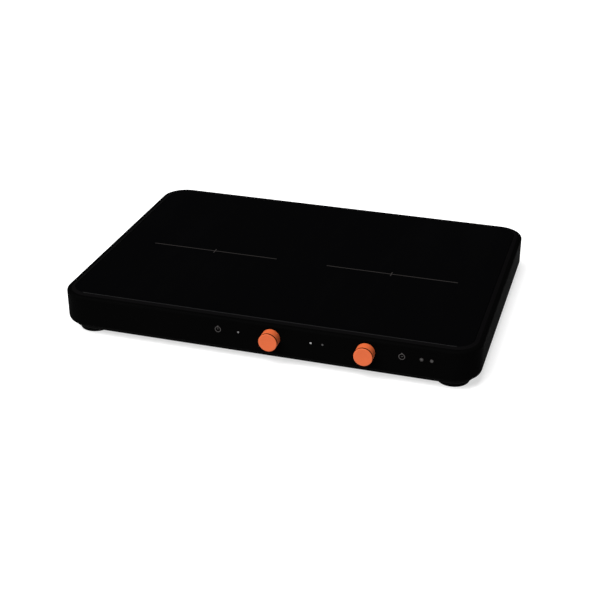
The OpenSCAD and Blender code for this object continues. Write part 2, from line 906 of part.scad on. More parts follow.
module cord_gland() {
    hex_r = gland_r + 4;
    hex_t = 5;
    cap_r = 10;
    cap_edge = 2;
    inside = 8;
    color("#19191a") on_rear(gland_x, gland_z) difference() {
        union() {
            cylinder(r = hex_r, h = hex_t, $fn = 6);
            rotate_extrude() union() {
                square([cap_r - cap_edge, gland_out]);
                square([cap_r, gland_out - cap_edge]);
                translate([cap_r - cap_edge, gland_out - cap_edge]) circle(r = cap_edge);
            }
            translate([0, 0, -inside]) cylinder(r = gland_r, h = inside + 1);
        }
        translate([0, 0, -inside - over]) cylinder(r = gland_bore_r, h = gland_out + inside + 2 * over);
    }
}

module gland_nut() {
    nut_h = 4;
    nut_r = gland_r + 3.5;
    color("#222224") on_rear(gland_x, gland_z) difference() {
        translate([0, 0, -wall - nut_h]) cylinder(r = nut_r, h = nut_h, $fn = 6);
        translate([0, 0, -wall - nut_h - over]) cylinder(r = gland_r + run_gap, h = nut_h + 2 * over);
    }
}

module terminal_block() {
    size = [33, 16, 15];
    pitch = 10;
    well_r = 2.5;
    well_t = 4;
    wire_r = 2;
    wire_z = 5;
    color("#cfd2cc") difference() {
        block(gland_x, terminal_y, floor_z, size);
        for (i = [-1:1]) translate([gland_x + i * pitch, terminal_y, floor_z]) {
            translate([0, 0, size[2] - well_t]) cylinder(r = well_r, h = well_t + over);
            translate([0, size[1], wire_z]) rotate([90, 0, 0]) cylinder(r = wire_r, h = 2 * size[1]);
        }
    }
}

module filter_board() {
    color("#23603c") difference() {
        block(0, filter_y, board_z, [filter_w, filter_l, board_t]);
        at_filter_corners() cylinder(r = hole_r, h = body_h);
    }
}

// Mains choke, two suppressor capacitors and the fuse
module filter_parts() {
    choke_at = [-20, -14, 0];
    choke_r = 14;
    eye_r = 6;
    choke_h = 16;
    large = [32, 13, 20];
    small = [26, 10, 17];
    film_x = 16;
    large_y = -20;
    small_y = 2;
    fuse_at = [-30, 24, 4];
    fuse_r = 3;
    fuse_l = 22;
    color("#3b4a78") translate([0, filter_y, board_top]) {
        translate(choke_at) ring(0, choke_h, choke_r, eye_r);
        block(film_x, large_y, 0, large);
        block(film_x, small_y, 0, small);
        translate(fuse_at) rotate([0, 90, 0]) cylinder(r = fuse_r, h = fuse_l);
    }
}

housing();
glass_top();
glass_bond();
base_tray();
foot(-1, -1);  // foot_front_left
foot(1, -1);  // foot_front_right
foot(-1, 1);  // foot_rear_left
foot(1, 1);  // foot_rear_right
tray_screws();
board_screws();
coil_screws();
fan_screws();
control_board();
indicator_lenses();
indicator_leds();
touch_contacts();
encoder_nuts();
knob(knob_left_in);  // knob_left
knob_clip(knob_left_in);  // knob_left_clip
encoder_body(knob_left_in);  // encoder_left_body
encoder_shaft(knob_left_in);  // encoder_left_shaft
encoder_plunger(knob_left_in);  // encoder_left_plunger
knob(knob_right_in);  // knob_right
knob_clip(knob_right_in);  // knob_right_clip
encoder_body(knob_right_in);  // encoder_right_body
encoder_shaft(knob_right_in);  // encoder_right_shaft
encoder_plunger(knob_right_in);  // encoder_right_plunger
coil_winding(left);  // coil_left_winding
coil_carrier(left);  // coil_left_carrier
coil_ferrites(left);  // coil_left_ferrites
coil_mica(left);  // coil_left_mica
coil_sensor(left);  // coil_left_sensor
coil_leads(left);  // coil_left_leads
coil_winding(right);  // coil_right_winding
coil_carrier(right);  // coil_right_carrier
coil_ferrites(right);  // coil_right_ferrites
coil_mica(right);  // coil_right_mica
coil_sensor(right);  // coil_right_sensor
coil_leads(right);  // coil_right_leads
power_board(left);  // power_board_left
heat_sink(left);  // heat_sink_left
transistors(left);  // transistors_left
capacitors(left);  // capacitors_left
choke(left);  // choke_left
power_board(right);  // power_board_right
heat_sink(right);  // heat_sink_right
transistors(right);  // transistors_right
capacitors(right);  // capacitors_right
choke(right);  // choke_right
fan_frame(left);  // fan_left_frame
fan_stator(left);  // fan_left_stator
fan_rotor(left);  // fan_left_rotor
fan_frame(right);  // fan_right_frame
fan_stator(right);  // fan_right_stator
fan_rotor(right);  // fan_right_rotor
cord_gland();
gland_nut();
terminal_block();
filter_board();
filter_parts();
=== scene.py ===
"""Looks of a portable induction cooktop: black casing and glass, two orange knobs, printed marks.

The pieces are placed by the boxes of the CAD nodes, and every size is in metres.
"""

import math

import bmesh
import bpy
from bpy.props import FloatProperty, FloatVectorProperty, IntProperty, PointerProperty
from mathutils import Matrix, Vector


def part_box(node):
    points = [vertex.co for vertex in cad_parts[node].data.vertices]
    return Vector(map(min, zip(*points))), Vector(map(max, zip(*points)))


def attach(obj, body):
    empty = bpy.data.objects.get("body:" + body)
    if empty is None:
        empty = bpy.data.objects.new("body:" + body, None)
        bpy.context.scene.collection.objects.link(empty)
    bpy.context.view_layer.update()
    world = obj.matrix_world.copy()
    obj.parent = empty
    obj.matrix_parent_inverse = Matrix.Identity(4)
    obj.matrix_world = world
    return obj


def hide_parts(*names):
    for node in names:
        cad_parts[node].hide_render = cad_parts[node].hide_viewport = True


bl_info = {
    "name": "Induction cooktop looks",
    "version": (1, 0, 0),
    "blender": (4, 5, 0),
    "location": "View3D > Sidebar > Cooktop",
    "description": "Builds the visible pieces and finishes of a two-zone induction cooktop",
    "category": "Object",
}

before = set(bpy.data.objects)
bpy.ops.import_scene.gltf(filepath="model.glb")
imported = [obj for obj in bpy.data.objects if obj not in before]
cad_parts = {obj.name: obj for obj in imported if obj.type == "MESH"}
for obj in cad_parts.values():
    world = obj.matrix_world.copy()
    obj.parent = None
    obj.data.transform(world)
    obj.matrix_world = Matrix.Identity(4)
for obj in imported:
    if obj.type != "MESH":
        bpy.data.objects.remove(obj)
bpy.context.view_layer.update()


def box_middle(node):
    """Middle of a CAD node's box."""
    low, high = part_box(node)
    return (Vector(low) + Vector(high)) / 2


GLASS_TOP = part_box("glass_top")[1][2]
HOUSING_LOW, HOUSING_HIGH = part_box("housing")
FRONT = HOUSING_LOW[1]
PANEL_Z = box_middle("knob_left").z
SIDES = ("left", "right")
MILLIMETRE = 0.001
# The band beside the glass slopes down by 16 degrees over 6 mm
BAND_LOW = HOUSING_HIGH[2] - 6 * MILLIMETRE * math.tan(math.radians(16)) + 0.1 * MILLIMETRE


# ------------------------------------------------------------------ settings


class CooktopMarks(bpy.types.PropertyGroup):
    """Sizes and colour of the printed marks."""

    line_length: FloatProperty(
        name="Line length", description="Length of the line across each cooking zone",
        default=0.196, min=0.05, max=0.3, unit="LENGTH")
    line_width: FloatProperty(
        name="Line width", description="Width of the line and of its tick",
        default=0.0013, min=0.0003, max=0.005, unit="LENGTH")
    tick_length: FloatProperty(
        name="Tick length", description="Length of the tick that marks the middle of a zone",
        default=0.0125, min=0.002, max=0.04, unit="LENGTH")
    print_height: FloatProperty(
        name="Print height", description="How far a printed mark stands off its surface",
        default=0.00004, min=0.00001, max=0.0002, unit="LENGTH")
    symbol_radius: FloatProperty(
        name="Symbol radius", description="Outer radius of the ring of a touch symbol",
        default=0.0044, min=0.002, max=0.01, unit="LENGTH")
    symbol_stroke: FloatProperty(
        name="Symbol stroke", description="Width of the strokes of a touch symbol",
        default=0.0009, min=0.0002, max=0.002, unit="LENGTH")
    colour: FloatVectorProperty(
        name="Print colour", description="Colour of the printed marks",
        default=(0.028, 0.0255, 0.0245), min=0, max=1, size=3, subtype="COLOR")


class CooktopKnobs(bpy.types.PropertyGroup):
    """Sizes and colour of the two knobs."""

    edge: FloatProperty(
        name="Edge rounding", description="Rounding of a knob's face and rear edge",
        default=0.0007, min=0.0001, max=0.002, unit="LENGTH")
    dish: FloatProperty(
        name="Face dish", description="How far the middle of the face lies behind its edge",
        default=0.00025, min=0, max=0.001, unit="LENGTH")
    # The groove is drawn near black on the orange knob: painted shade in the recess.
    groove_from_face: FloatProperty(
        name="Groove place", description="Distance from the face to the dark groove",
        default=0.0009, min=0.0005, max=0.004, unit="LENGTH")
    groove_width: FloatProperty(
        name="Groove width", description="Width of the dark groove",
        default=0.0024, min=0.0003, max=0.003, unit="LENGTH")
    groove_depth: FloatProperty(
        name="Groove depth", description="Depth of the dark groove",
        default=0.0011, min=0.0002, max=0.0015, unit="LENGTH")
    steps: IntProperty(
        name="Steps", description="Number of steps round a knob", default=96, min=24, max=160)
    colour: FloatVectorProperty(
        name="Knob colour", description="Colour of the knobs' plastic",
        default=(0.380, 0.0710, 0.0205), min=0, max=1, size=3, subtype="COLOR")


class CooktopFeet(bpy.types.PropertyGroup):
    """Sizes of the rubber feet and of the cord gland's grip."""

    tread_rings: IntProperty(
        name="Tread rings", description="Number of grooves under a foot", default=4, min=1, max=8)
    tread_depth: FloatProperty(
        name="Tread depth", description="Depth of the grooves under a foot",
        default=0.0009, min=0.0002, max=0.002, unit="LENGTH")
    foot_edge: FloatProperty(
        name="Foot edge", description="Rounding of a foot's lower edge",
        default=0.0018, min=0.0005, max=0.003, unit="LENGTH")
    grip_ribs: IntProperty(
        name="Grip ribs", description="Number of ribs round the gland's cap", default=28, min=8, max=48)


class CooktopCoils(bpy.types.PropertyGroup):
    """Sizes of the wound coils."""

    turns: IntProperty(
        name="Turns", description="Number of turns of a coil", default=15, min=6, max=24)
    wire_gap: FloatProperty(
        name="Wire gap", description="Gap between one turn of a coil and the next",
        default=0.0004, min=0.0001, max=0.002, unit="LENGTH")


class CooktopStage(bpy.types.PropertyGroup):
    """Camera, floor and light."""

    turn: FloatProperty(
        name="Camera turn", description="How far the camera stands to the right of straight ahead",
        default=math.radians(17.12), subtype="ANGLE")
    height: FloatProperty(
        name="Camera height", description="Angle of the camera above the table",
        default=math.radians(27.13), subtype="ANGLE")
    distance: FloatProperty(
        name="Camera distance", description="Distance from the camera to the point that it looks at",
        default=1.70972, min=0.3, unit="LENGTH")
    aim: FloatVectorProperty(
        name="Aim", description="Point that the camera looks at",
        default=(0.03411, -0.1323, 0.064), size=3, subtype="TRANSLATION", unit="LENGTH")
    lens: FloatProperty(
        name="Lens", description="Focal length in millimetres on a 36 mm sensor", default=73.436, min=20)
    key: FloatProperty(
        name="Key light", description="Strength of the key light", default=8.0, min=0)
    floor_colour: FloatVectorProperty(
        name="Floor colour", description="Colour of the floor",
        default=(0.40, 0.40, 0.40), min=0, max=1, size=3, subtype="COLOR")
    floor_glow: FloatProperty(
        name="Floor glow", description="Strength of the light that comes up through the floor",
        default=0.65, min=0)


SETTINGS = {
    "cooktop_marks": CooktopMarks,
    "cooktop_knobs": CooktopKnobs,
    "cooktop_feet": CooktopFeet,
    "cooktop_coils": CooktopCoils,
    "cooktop_stage": CooktopStage,
}


# ------------------------------------------------------------------ shader node groups


def new_group(name, inputs, outputs):
    """Empty shader node group with named sockets, and its input and output nodes."""
    group = bpy.data.node_groups.new(name, "ShaderNodeTree")
    for label, kind, value in inputs:
        socket = group.interface.new_socket(name=label, in_out="INPUT", socket_type=kind)
        socket.default_value = value
    for label, kind in outputs:
        group.interface.new_socket(name=label, in_out="OUTPUT", socket_type=kind)
    return group, group.nodes.new("NodeGroupInput"), group.nodes.new("NodeGroupOutput")


def math_node(tree, operation, *values, clamp=False):
    """Result socket of a math node that is fed by sockets or plain numbers."""
    node = tree.nodes.new("ShaderNodeMath")
    node.operation = operation
    node.use_clamp = clamp
    for socket, value in zip(node.inputs, values):
        if isinstance(value, (int, float)):
            socket.default_value = value
        else:
            tree.links.new(value, socket)
    return node.outputs[0]


def noise_node(tree, scale, detail, roughness, vector=None):
    """Noise on Object coordinates, unless a vector is given, and its factor socket."""
    node = tree.nodes.new("ShaderNodeTexNoise")
    node.inputs["Detail"].default_value = detail
    node.inputs["Roughness"].default_value = roughness
    if vector is None:
        vector = tree.nodes.new("ShaderNodeTexCoord").outputs["Object"]
    tree.links.new(vector, node.inputs["Vector"])
    if isinstance(scale, (int, float)):
        node.inputs["Scale"].default_value = scale
    else:
        tree.links.new(scale, node.inputs["Scale"])
    return node.outputs["Fac"]


def blend_colour(tree, factor, first, second):
    """Mix node between two colours, each a socket or three numbers."""
    node = tree.nodes.new("ShaderNodeMix")
    node.data_type = "RGBA"
    tree.links.new(factor, node.inputs["Factor"])
    for label, value in (("A", first), ("B", second)):
        socket = next(s for s in node.inputs if s.name == label and s.type == "RGBA")
        if isinstance(value, (tuple, list)):
            socket.default_value = (*value, 1)
        else:
            tree.links.new(value, socket)
    return next(s for s in node.outputs if s.type == "RGBA")


def put_out(group, given, out, swing, share, height):
    """Give out the height, and the colour and roughness varied by a swing about zero."""
    rough = math_node(group, "ADD", given.outputs["Roughness"], swing, clamp=True)
    scaled = group.nodes.new("ShaderNodeVectorMath")
    scaled.operation = "SCALE"
    group.links.new(given.outputs["Colour"], scaled.inputs[0])
    group.links.new(math_node(group, "MULTIPLY_ADD", swing, share, 1.0), scaled.inputs["Scale"])
    group.links.new(scaled.outputs[0], out.inputs["Colour"])
    group.links.new(rough, out.inputs["Roughness"])
    group.links.new(height, out.inputs["Height"])


def build_moulded():
    """Moulded texture: fine pebbles, faint flow and specks. Puts out colour, roughness and height."""
    group, given, out = new_group(
        "Moulded texture",
        [("Colour", "NodeSocketColor", (0.02, 0.02, 0.02, 1)), ("Grain", "NodeSocketFloat", 900.0),
         ("Depth", "NodeSocketFloat", 0.5), ("Variation", "NodeSocketFloat", 0.2),
         ("Roughness", "NodeSocketFloat", 0.5)],
        [("Colour", "NodeSocketColor"), ("Roughness", "NodeSocketFloat"), ("Height", "NodeSocketFloat")])
    fine = noise_node(group, given.outputs["Grain"], 2, 0.6)
    broad = noise_node(group, 9.0, 4, 0.55)
    pebbles = group.nodes.new("ShaderNodeTexVoronoi")
    group.links.new(group.nodes.new("ShaderNodeTexCoord").outputs["Object"], pebbles.inputs["Vector"])
    group.links.new(given.outputs["Grain"], pebbles.inputs["Scale"])
    relief = math_node(group, "ADD", fine, pebbles.outputs["Distance"])
    height = math_node(group, "MULTIPLY", relief, given.outputs["Depth"])
    drift = math_node(group, "SUBTRACT", broad, 0.5)
    grain = math_node(group, "SUBTRACT", fine, 0.5)
    both = math_node(group, "ADD", drift, grain)
    swing = math_node(group, "MULTIPLY", both, given.outputs["Variation"])
    put_out(group, given, out, swing, 1.6, height)
    return group


def build_brushed():
    """Drawn or rolled metal: streaks along one direction. Puts out colour, roughness and height."""
    group, given, out = new_group(
        "Brushed metal",
        [("Colour", "NodeSocketColor", (0.6, 0.6, 0.6, 1)), ("Stretch", "NodeSocketVector", (1, 1, 1)),
         ("Scale", "NodeSocketFloat", 400.0), ("Variation", "NodeSocketFloat", 0.2),
         ("Roughness", "NodeSocketFloat", 0.3)],
        [("Colour", "NodeSocketColor"), ("Roughness", "NodeSocketFloat"), ("Height", "NodeSocketFloat")])
    place = group.nodes.new("ShaderNodeVectorMath")
    place.operation = "MULTIPLY"
    group.links.new(group.nodes.new("ShaderNodeTexCoord").outputs["Object"], place.inputs[0])
    group.links.new(given.outputs["Stretch"], place.inputs[1])
    streak = noise_node(group, given.outputs["Scale"], 3, 0.7, place.outputs[0])
    stain = noise_node(group, 60.0, 3, 0.5)
    drift = math_node(group, "ADD", math_node(group, "SUBTRACT", streak, 0.5),
                      math_node(group, "SUBTRACT", stain, 0.5))
    swing = math_node(group, "MULTIPLY", drift, given.outputs["Variation"])
    put_out(group, given, out, swing, 0.8, streak)
    return group


def build_tracks():
    """Copper tracks under a board's lacquer. Puts out a mask that is 1 on a track, and a height."""
    group, given, out = new_group(
        "Board tracks",
        [("Pitch", "NodeSocketFloat", 260.0), ("Share", "NodeSocketFloat", 0.45)],
        [("Mask", "NodeSocketFloat"), ("Height", "NodeSocketFloat")])
    cells = group.nodes.new("ShaderNodeTexVoronoi")
    cells.distance = "CHEBYCHEV"
    group.links.new(group.nodes.new("ShaderNodeTexCoord").outputs["Object"], cells.inputs["Vector"])
    group.links.new(given.outputs["Pitch"], cells.inputs["Scale"])
    mask = math_node(group, "GREATER_THAN", cells.outputs["Distance"], given.outputs["Share"])
    group.links.new(mask, out.inputs["Mask"])
    group.links.new(mask, out.inputs["Height"])
    return group


def build_dust():
    """Faint dust and wipe marks. Puts out a mask between 0 and 1."""
    group, given, out = new_group(
        "Dust and wipe marks",
        [("Amount", "NodeSocketFloat", 0.1), ("Scale", "NodeSocketFloat", 60.0)],
        [("Mask", "NodeSocketFloat")])
    place = group.nodes.new("ShaderNodeMapping")
    place.inputs["Scale"].default_value = (1, 0.25, 1)
    group.links.new(group.nodes.new("ShaderNodeTexCoord").outputs["Object"], place.inputs["Vector"])
    wipe = noise_node(group, given.outputs["Scale"], 5, 0.65, place.outputs[0])
    cut = group.nodes.new("ShaderNodeMapRange")
    cut.inputs["From Min"].default_value = 0.5
    cut.inputs["From Max"].default_value = 0.8
    group.links.new(wipe, cut.inputs["Value"])
    group.links.new(math_node(group, "MULTIPLY", cut.outputs[0], given.outputs["Amount"]),
                    out.inputs["Mask"])
    return group


# ------------------------------------------------------------------ finishes


def new_finish(name):
    """Material with a Principled shader, and that shader's node."""
    made = bpy.data.materials.new(name)
    made.use_nodes = True
    return made, made.node_tree.nodes["Principled BSDF"]


def place_group(tree, group, **values):
    """Node that uses a group, with its inputs set."""
    node = tree.nodes.new("ShaderNodeGroup")
    node.node_tree = group
    for label, value in values.items():
        socket = node.inputs[label]
        socket.default_value = (*value, 1) if socket.type == "RGBA" else value
    return node


def add_bump(tree, shader, height, strength, distance):
    """Relief from a height socket."""
    bump = tree.nodes.new("ShaderNodeBump")
    bump.inputs["Strength"].default_value = strength
    bump.inputs["Distance"].default_value = distance
    tree.links.new(height, bump.inputs["Height"])
    tree.links.new(bump.outputs[0], shader.inputs["Normal"])


def plastic(name, groups, colour, roughness, grain, depth, variation, gloss=0.3):
    """Moulded plastic, rubber or ceramic."""
    made, shader = new_finish(name)
    tree = made.node_tree
    look = place_group(tree, groups["moulded"], Colour=colour, Grain=grain, Depth=1.0,
                       Variation=variation, Roughness=roughness)
    tree.links.new(look.outputs["Colour"], shader.inputs["Base Color"])
    tree.links.new(look.outputs["Roughness"], shader.inputs["Roughness"])
    shader.inputs["Specular IOR Level"].default_value = gloss
    add_bump(tree, shader, look.outputs["Height"], 0.35, depth)
    return made


def metal(name, groups, colour, roughness, stretch, scale, variation):
    """Drawn, rolled or plated metal."""
    made, shader = new_finish(name)
    tree = made.node_tree
    look = place_group(tree, groups["brushed"], Colour=colour, Stretch=stretch, Scale=scale,
                       Variation=variation, Roughness=roughness)
    tree.links.new(look.outputs["Colour"], shader.inputs["Base Color"])
    tree.links.new(look.outputs["Roughness"], shader.inputs["Roughness"])
    shader.inputs["Metallic"].default_value = 1
    add_bump(tree, shader, look.outputs["Height"], 0.2, 0.00005)
    return made


def board(name, groups, lacquer, track):
    """Circuit board: lacquer over copper tracks."""
    made, shader = new_finish(name)
    tree = made.node_tree
    tracks = place_group(tree, groups["tracks"], Pitch=240.0, Share=0.42)
    look = place_group(tree, groups["moulded"], Colour=lacquer, Grain=1500.0, Depth=1.0,
                       Variation=0.1, Roughness=0.35)
    colour = blend_colour(tree, tracks.outputs["Mask"], look.outputs["Colour"], track)
    tree.links.new(colour, shader.inputs["Base Color"])
    tree.links.new(look.outputs["Roughness"], shader.inputs["Roughness"])
    add_bump(tree, shader, tracks.outputs["Height"], 0.3, 0.00004)
    return made


def glass(name, groups):
    """Black ceramic glass with faint wipe marks in its gloss."""
    made, shader = new_finish(name)
    tree = made.node_tree
    dust = place_group(tree, groups["dust"], Amount=0.6, Scale=14.0)
    colour = blend_colour(tree, dust.outputs["Mask"], (0.0008, 0.0008, 0.0009), (0.0012, 0.0012, 0.0013))
    tree.links.new(colour, shader.inputs["Base Color"])
    rough = math_node(tree, "MULTIPLY_ADD", dust.outputs["Mask"], 0.10, 0.05)
    tree.links.new(rough, shader.inputs["Roughness"])
    shader.inputs["IOR"].default_value = 1.52
    shader.inputs["Specular IOR Level"].default_value = 0.02
    ripple = noise_node(tree, 30.0, 2, 0.4)
    add_bump(tree, shader, ripple, 0.02, 0.0001)
    return made


def casing(groups):
    """Black casing plastic, a shade lighter on the smooth band that slopes down from the glass."""
    made, shader = new_finish("Casing plastic")
    tree = made.node_tree
    look = place_group(tree, groups["moulded"], Colour=(0.0007, 0.0007, 0.0007), Grain=1300.0, Depth=1.0,
                       Variation=0.25, Roughness=0.75)
    split = tree.nodes.new("ShaderNodeSeparateXYZ")
    tree.links.new(tree.nodes.new("ShaderNodeTexCoord").outputs["Object"], split.inputs[0])
    band = tree.nodes.new("ShaderNodeMapRange")
    band.inputs["From Min"].default_value = BAND_LOW
    band.inputs["From Max"].default_value = BAND_LOW + 0.1 * MILLIMETRE
    tree.links.new(split.outputs["Z"], band.inputs["Value"])
    colour = blend_colour(tree, band.outputs[0], look.outputs["Colour"], (0.0016, 0.0015, 0.0016))
    tree.links.new(colour, shader.inputs["Base Color"])
    tree.links.new(look.outputs["Roughness"], shader.inputs["Roughness"])
    shader.inputs["Specular IOR Level"].default_value = 0.004
    add_bump(tree, shader, look.outputs["Height"], 0.35, 0.00006)
    return made


def lens(name, groups):
    """Milky indicator lens: the left one of the middle pair is bright, and the others are dimmer."""
    left_knob, right_knob = (box_middle(f"knob_{side}").x for side in SIDES)
    made, shader = new_finish(name)
    tree = made.node_tree
    look = place_group(tree, groups["moulded"], Colour=(0.185, 0.185, 0.183), Grain=2200.0, Depth=1.0,
                       Variation=0.2, Roughness=0.35)
    split = tree.nodes.new("ShaderNodeSeparateXYZ")
    tree.links.new(tree.nodes.new("ShaderNodeTexCoord").outputs["Object"], split.inputs[0])
    left = math_node(tree, "LESS_THAN", split.outputs["X"], left_knob)
    right = math_node(tree, "GREATER_THAN", split.outputs["X"], (left_knob + right_knob) / 2)
    colour = blend_colour(tree, left, look.outputs["Colour"], (0.088, 0.088, 0.087))
    colour = blend_colour(tree, right, colour, (0.028, 0.0277, 0.0272))
    tree.links.new(colour, shader.inputs["Base Color"])
    tree.links.new(look.outputs["Roughness"], shader.inputs["Roughness"])
    shader.inputs["Specular IOR Level"].default_value = 0.25
    return made


def winding(name, groups, colour, pitch):
    """Stranded wire: slanting strands in the relief, and painted shade in the colour where the relief is low.
    """
    made, shader = new_finish(name)
    tree = made.node_tree
    strands = tree.nodes.new("ShaderNodeTexWave")
    strands.bands_direction = "DIAGONAL"
    strands.inputs["Scale"].default_value = pitch
    strands.inputs["Distortion"].default_value = 1.5
    tree.links.new(tree.nodes.new("ShaderNodeTexCoord").outputs["Object"], strands.inputs["Vector"])
    # Painted shade: the colour darkens to 45 percent in the hollows between the strands, where the relief is
    # low.
    dark = tuple(0.45 * part for part in colour)
    tree.links.new(blend_colour(tree, strands.outputs["Fac"], dark, colour), shader.inputs["Base Color"])
    look = place_group(tree, groups["brushed"], Colour=colour, Scale=700.0, Variation=0.2, Roughness=0.32)
    tree.links.new(look.outputs["Roughness"], shader.inputs["Roughness"])
    shader.inputs["Metallic"].default_value = 0.8
    add_bump(tree, shader, strands.outputs["Fac"], 0.5, 0.0002)
    return made


def printed(name, groups, colour):
    """Printed ink, a little uneven."""
    return plastic(name, groups, colour, 0.55, 3000.0, 0.00001, 0.25, gloss=0.2)


def build_finishes(settings):
    """Every finish, by the name of its material slot or of its print."""
    groups = {"moulded": build_moulded(), "brushed": build_brushed(),
              "tracks": build_tracks(), "dust": build_dust()}
    flat, tall = (1, 1, 1), (0.05, 1, 1)
    return {
        "casing_plastic": casing(groups),
        "tray_plastic": plastic(
            "Tray plastic", groups, (0.0008, 0.0008, 0.0008), 0.7, 900.0, 0.00009, 0.25, 0.015),
        "black_glass": glass("Black glass", groups),
        "silicone": plastic("Silicone", groups, (0.001, 0.001, 0.001), 0.7, 1200.0, 0.00004, 0.1, 0.03),
        "foot_rubber": plastic(
            "Foot rubber", groups, (0.0012, 0.0012, 0.0012), 0.85, 1400.0, 0.00008, 0.3, 0.03),
        "zinc_steel": metal("Zinc-plated steel", groups, (0.55, 0.56, 0.58), 0.32, flat, 500.0, 0.25),
        "brass_screw": metal("Brass", groups, (0.70, 0.50, 0.22), 0.30, flat, 500.0, 0.2),
        "board_green": board("Green board", groups, (0.012, 0.075, 0.03), (0.03, 0.15, 0.06)),
        "lens_plastic": lens("Lens plastic", groups),
        "led_chip": plastic("Light chip", groups, (0.75, 0.68, 0.45), 0.4, 3000.0, 0.00002, 0.2, 0.4),
        "contact_foam": plastic("Contact foam", groups, (0.03, 0.03, 0.035), 0.95, 700.0, 0.0004, 0.5, 0.1),
        "plated_metal": metal("Plated metal", groups, (0.62, 0.63, 0.65), 0.25, flat, 600.0, 0.2),
        "white_plastic": plastic(
            "White plastic", groups, (0.62, 0.61, 0.57), 0.45, 1200.0, 0.00004, 0.15, 0.4),
        "spring_steel": metal("Spring steel", groups, (0.40, 0.42, 0.45), 0.3, tall, 500.0, 0.3),
        "copper": winding("Stranded copper", groups, (0.60, 0.26, 0.12), 320.0),
        "carrier_plastic": plastic(
            "Carrier plastic", groups, (0.50, 0.45, 0.34), 0.6, 800.0, 0.00008, 0.2, 0.35),
        "ferrite": plastic("Ferrite", groups, (0.022, 0.022, 0.025), 0.75, 500.0, 0.0001, 0.35, 0.3),
        "mica": plastic("Mica", groups, (0.42, 0.38, 0.26), 0.35, 300.0, 0.00008, 0.4, 0.5),
        "lead_red": plastic("Lead sleeve", groups, (0.40, 0.035, 0.02), 0.5, 900.0, 0.00006, 0.2, 0.4),
        "aluminium": metal("Extruded aluminium", groups, (0.66, 0.67, 0.69), 0.35, (1, 0.04, 1), 600.0, 0.3),
        "black_epoxy": plastic("Black epoxy", groups, (0.012, 0.012, 0.012), 0.5, 1100.0, 0.00005, 0.2, 0.4),
        "capacitor_yellow": plastic(
            "Capacitor yellow", groups, (0.55, 0.38, 0.03), 0.4, 900.0, 0.00006, 0.2, 0.45),
        "choke_wire": winding("Choke wire", groups, (0.50, 0.22, 0.07), 380.0),
        "fan_plastic": plastic("Fan plastic", groups, (0.008, 0.008, 0.009), 0.45, 1300.0, 0.00005, 0.2, 0.3),
        "gland_nylon": plastic(
            "Gland nylon", groups, (0.0045, 0.0045, 0.0045), 0.48, 1200.0, 0.00005, 0.25, 0.25),
        "filter_blue": plastic("Filter blue", groups, (0.03, 0.06, 0.22), 0.45, 900.0, 0.00006, 0.2, 0.4),
        "knob_orange": plastic(
            "Knob orange", groups, tuple(settings.cooktop_knobs.colour), 0.55, 2000.0, 0.00003, 0.08, 0.15),
        # Near-black finish for the walls and floor of the knob's groove: painted shade in the recess of the
        # one-piece orange knob.
        "groove": plastic("Knob groove painted shade", groups, (0.001, 0.001, 0.001), 0.9, 1500.0, 0.00003, 0.2, 0.02),
        "print": printed("Printed ink", groups, tuple(settings.cooktop_marks.colour)),
        "zone_print": printed("Zone ink", groups, (0.017, 0.015, 0.0145)),
    }


def nodes_with(*starts):
    """CAD nodes whose names begin so."""
    return [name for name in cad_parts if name.startswith(starts)]


def finish_nodes():
    """Which CAD nodes take which finish."""
    return {
        "casing_plastic": ["housing"],
        "tray_plastic": ["base_tray"],
        "black_glass": ["glass_top"],
        "silicone": ["glass_bond"],
        "foot_rubber": nodes_with("foot_"),
        "zinc_steel": ["tray_screws", "board_screws", "fan_screws"],
        "brass_screw": ["coil_screws"],
        "board_green": nodes_with("control_board", "power_board_", "filter_board"),
        "lens_plastic": ["indicator_lenses"],
        "led_chip": ["indicator_leds"],
        "contact_foam": ["touch_contacts"],
        "plated_metal": ["encoder_nuts", "encoder_left_body", "encoder_right_body",
                         "encoder_left_shaft", "encoder_right_shaft"],
        "white_plastic": ["encoder_left_plunger", "encoder_right_plunger", "coil_left_sensor",
                          "coil_right_sensor", "terminal_block"],
        "knob_orange": ["knob_left", "knob_right"],
        "spring_steel": ["knob_left_clip", "knob_right_clip"],
        "copper": ["coil_left_winding", "coil_right_winding", "fan_left_stator", "fan_right_stator"],
        "carrier_plastic": ["coil_left_carrier", "coil_right_carrier"],
        "ferrite": ["coil_left_ferrites", "coil_right_ferrites"],
        "mica": ["coil_left_mica", "coil_right_mica"],
        "lead_red": ["coil_left_leads", "coil_right_leads"],
        "aluminium": nodes_with("heat_sink_"),
        "black_epoxy": nodes_with("transistors_"),
        "capacitor_yellow": nodes_with("capacitors_"),
        "choke_wire": nodes_with("choke_"),
        "fan_plastic": ["fan_left_frame", "fan_right_frame", "fan_left_rotor", "fan_right_rotor"],
        "gland_nylon": ["cord_gland", "gland_nut"],
        "filter_blue": ["filter_parts"],
    }


FINISHES = {}


# ------------------------------------------------------------------ modelling helpers


def wire_profile(shape, points):
    """Closed outline in the XZ plane, as (radius, height) pairs."""
    verts = [shape.verts.new((across, 0, up)) for across, up in points]
    for first, second in zip(verts, verts[1:] + verts[:1]):
        shape.edges.new((first, second))
    return verts


def turned(points, steps):
    """Bmesh of an outline turned once round the Z axis."""
    shape = bmesh.new()
    wire_profile(shape, points)
    bmesh.ops.spin(shape, geom=shape.verts[:] + shape.edges[:], cent=(0, 0, 0), axis=(0, 0, 1),
                   angle=2 * math.pi, steps=steps, use_merge=True)
    bmesh.ops.remove_doubles(shape, verts=shape.verts, dist=1e-7)
    bmesh.ops.dissolve_degenerate(shape, edges=shape.edges, dist=1e-8)
    axis_edges = [edge for edge in shape.edges if not edge.link_faces]
    bmesh.ops.delete(shape, geom=axis_edges, context="EDGES")
    return shape


